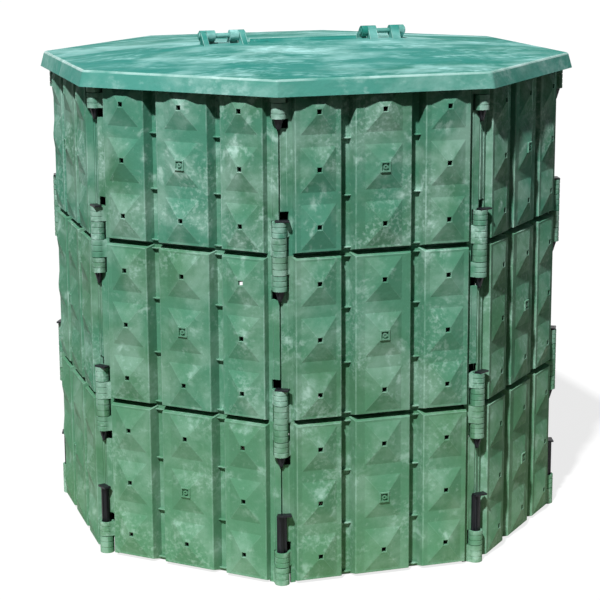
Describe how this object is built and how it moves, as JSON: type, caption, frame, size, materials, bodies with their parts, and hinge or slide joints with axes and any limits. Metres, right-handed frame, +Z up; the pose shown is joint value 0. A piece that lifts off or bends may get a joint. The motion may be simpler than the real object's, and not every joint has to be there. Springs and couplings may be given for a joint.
{
  "type": "compost bin",
  "caption": "Octagonal garden compost bin of pinned moulded panels with vent holes, open at the base, with a split hinged lid and pull-out corner pins.",
  "frame": {"origin": "on the ground under the centre of the bin", "axes": "+Z up, -Y out of the front panel, the lid folds on a line along X"},
  "size_m": [1.1204, 1.1204, 1.113],
  "materials": {
    "wall_green": "mid green recycled plastic with cloudy pale marbling",
    "lid_green": "brighter blue-green recycled plastic with long pale flow streaks and a soft sheen",
    "pin_black": "near-black plastic with a slight sheen"
  },
  "bodies": {
    "walls": {"bottom_panel_front": "wall_green", "bottom_panel_front_right": "wall_green", "bottom_panel_right": "wall_green", "bottom_panel_rear_right": "wall_green", "bottom_panel_rear": "wall_green", "bottom_panel_rear_left": "wall_green", "bottom_panel_left": "wall_green", "bottom_panel_front_left": "wall_green", "middle_panel_front": "wall_green", "middle_panel_front_right": "wall_green", "middle_panel_right": "wall_green", "middle_panel_rear_right": "wall_green", "middle_panel_rear": "wall_green", "middle_panel_rear_left": "wall_green", "middle_panel_left": "wall_green", "middle_panel_front_left": "wall_green", "top_panel_front": "wall_green", "top_panel_front_right": "wall_green", "top_panel_right": "wall_green", "top_panel_rear_right": "wall_green", "top_panel_rear": "wall_green", "top_panel_rear_left": "wall_green", "top_panel_left": "wall_green", "top_panel_front_left": "wall_green", "top_pins": "pin_black"},
    "lid_hinge": {"left_hinge_pin": "lid_green", "right_hinge_pin": "lid_green"},
    "front_lid": {"front_lid_leaf": "lid_green", "front_lid_skirt": "lid_green", "front_lid_skirt_sides": "lid_green", "front_lid_skirt_ends": "lid_green", "front_lid_seat": "lid_green", "front_lid_seat_sides": "lid_green", "front_lid_seat_ends": "lid_green"},
    "rear_lid": {"rear_lid_leaf": "lid_green", "rear_lid_skirt": "lid_green", "rear_lid_skirt_sides": "lid_green", "rear_lid_skirt_ends": "lid_green", "rear_lid_seat": "lid_green", "rear_lid_seat_sides": "lid_green", "rear_lid_seat_ends": "lid_green"},
    "ground_pin_1": {"ground_pin_1": "pin_black"},
    "ground_pin_2": {"ground_pin_2": "pin_black"},
    "ground_pin_3": {"ground_pin_3": "pin_black"},
    "ground_pin_4": {"ground_pin_4": "pin_black"},
    "ground_pin_5": {"ground_pin_5": "pin_black"},
    "ground_pin_6": {"ground_pin_6": "pin_black"},
    "ground_pin_7": {"ground_pin_7": "pin_black"},
    "ground_pin_8": {"ground_pin_8": "pin_black"},
    "lower_seam_pin_1": {"lower_seam_pin_1": "pin_black"},
    "lower_seam_pin_2": {"lower_seam_pin_2": "pin_black"},
    "lower_seam_pin_3": {"lower_seam_pin_3": "pin_black"},
    "lower_seam_pin_4": {"lower_seam_pin_4": "pin_black"},
    "lower_seam_pin_5": {"lower_seam_pin_5": "pin_black"},
    "lower_seam_pin_6": {"lower_seam_pin_6": "pin_black"},
    "lower_seam_pin_7": {"lower_seam_pin_7": "pin_black"},
    "lower_seam_pin_8": {"lower_seam_pin_8": "pin_black"},
    "upper_seam_pin_1": {"upper_seam_pin_1": "pin_black"},
    "upper_seam_pin_2": {"upper_seam_pin_2": "pin_black"},
    "upper_seam_pin_3": {"upper_seam_pin_3": "pin_black"},
    "upper_seam_pin_4": {"upper_seam_pin_4": "pin_black"},
    "upper_seam_pin_5": {"upper_seam_pin_5": "pin_black"},
    "upper_seam_pin_6": {"upper_seam_pin_6": "pin_black"},
    "upper_seam_pin_7": {"upper_seam_pin_7": "pin_black"},
    "upper_seam_pin_8": {"upper_seam_pin_8": "pin_black"}
  },
  "joints": [
    {"name": "lid_lift", "type": "slide", "parent": "walls", "child": "lid_hinge", "axis": [0, 0, 1], "range_m": [0, 0.2]},
    {"name": "front_lid_fold", "type": "hinge", "parent": "lid_hinge", "child": "front_lid", "pos_m": [0, 0, 1.101], "axis": [-1, 0, 0], "range_deg": [0, 90]},
    {"name": "rear_lid_fold", "type": "hinge", "parent": "lid_hinge", "child": "rear_lid", "pos_m": [0, 0, 1.101], "axis": [1, 0, 0], "range_deg": [0, 90]},
    {"name": "ground_pin_1_pull", "type": "slide", "parent": "walls", "child": "ground_pin_1", "axis": [0, 0, 1], "range_m": [0, 0.085]},
    {"name": "ground_pin_2_pull", "type": "slide", "parent": "walls", "child": "ground_pin_2", "axis": [0, 0, 1], "range_m": [0, 0.085]},
    {"name": "ground_pin_3_pull", "type": "slide", "parent": "walls", "child": "ground_pin_3", "axis": [0, 0, 1], "range_m": [0, 0.085]},
    {"name": "ground_pin_4_pull", "type": "slide", "parent": "walls", "child": "ground_pin_4", "axis": [0, 0, 1], "range_m": [0, 0.085]},
    {"name": "ground_pin_5_pull", "type": "slide", "parent": "walls", "child": "ground_pin_5", "axis": [0, 0, 1], "range_m": [0, 0.085]},
    {"name": "ground_pin_6_pull", "type": "slide", "parent": "walls", "child": "ground_pin_6", "axis": [0, 0, 1], "range_m": [0, 0.085]},
    {"name": "ground_pin_7_pull", "type": "slide", "parent": "walls", "child": "ground_pin_7", "axis": [0, 0, 1], "range_m": [0, 0.085]},
    {"name": "ground_pin_8_pull", "type": "slide", "parent": "walls", "child": "ground_pin_8", "axis": [0, 0, 1], "range_m": [0, 0.085]},
    {"name": "lower_seam_pin_1_pull", "type": "slide", "parent": "walls", "child": "lower_seam_pin_1", "axis": [0, 0, 1], "range_m": [0, 0.168]},
    {"name": "lower_seam_pin_2_pull", "type": "slide", "parent": "walls", "child": "lower_seam_pin_2", "axis": [0, 0, 1], "range_m": [0, 0.168]},
    {"name": "lower_seam_pin_3_pull", "type": "slide", "parent": "walls", "child": "lower_seam_pin_3", "axis": [0, 0, 1], "range_m": [0, 0.168]},
    {"name": "lower_seam_pin_4_pull", "type": "slide", "parent": "walls", "child": "lower_seam_pin_4", "axis": [0, 0, 1], "range_m": [0, 0.168]},
    {"name": "lower_seam_pin_5_pull", "type": "slide", "parent": "walls", "child": "lower_seam_pin_5", "axis": [0, 0, 1], "range_m": [0, 0.168]},
    {"name": "lower_seam_pin_6_pull", "type": "slide", "parent": "walls", "child": "lower_seam_pin_6", "axis": [0, 0, 1], "range_m": [0, 0.168]},
    {"name": "lower_seam_pin_7_pull", "type": "slide", "parent": "walls", "child": "lower_seam_pin_7", "axis": [0, 0, 1], "range_m": [0, 0.168]},
    {"name": "lower_seam_pin_8_pull", "type": "slide", "parent": "walls", "child": "lower_seam_pin_8", "axis": [0, 0, 1], "range_m": [0, 0.168]},
    {"name": "upper_seam_pin_1_pull", "type": "slide", "parent": "walls", "child": "upper_seam_pin_1", "axis": [0, 0, 1], "range_m": [0, 0.168]},
    {"name": "upper_seam_pin_2_pull", "type": "slide", "parent": "walls", "child": "upper_seam_pin_2", "axis": [0, 0, 1], "range_m": [0, 0.168]},
    {"name": "upper_seam_pin_3_pull", "type": "slide", "parent": "walls", "child": "upper_seam_pin_3", "axis": [0, 0, 1], "range_m": [0, 0.168]},
    {"name": "upper_seam_pin_4_pull", "type": "slide", "parent": "walls", "child": "upper_seam_pin_4", "axis": [0, 0, 1], "range_m": [0, 0.168]},
    {"name": "upper_seam_pin_5_pull", "type": "slide", "parent": "walls", "child": "upper_seam_pin_5", "axis": [0, 0, 1], "range_m": [0, 0.168]},
    {"name": "upper_seam_pin_6_pull", "type": "slide", "parent": "walls", "child": "upper_seam_pin_6", "axis": [0, 0, 1], "range_m": [0, 0.168]},
    {"name": "upper_seam_pin_7_pull", "type": "slide", "parent": "walls", "child": "upper_seam_pin_7", "axis": [0, 0, 1], "range_m": [0, 0.168]},
    {"name": "upper_seam_pin_8_pull", "type": "slide", "parent": "walls", "child": "upper_seam_pin_8", "axis": [0, 0, 1], "range_m": [0, 0.168]}
  ]
}
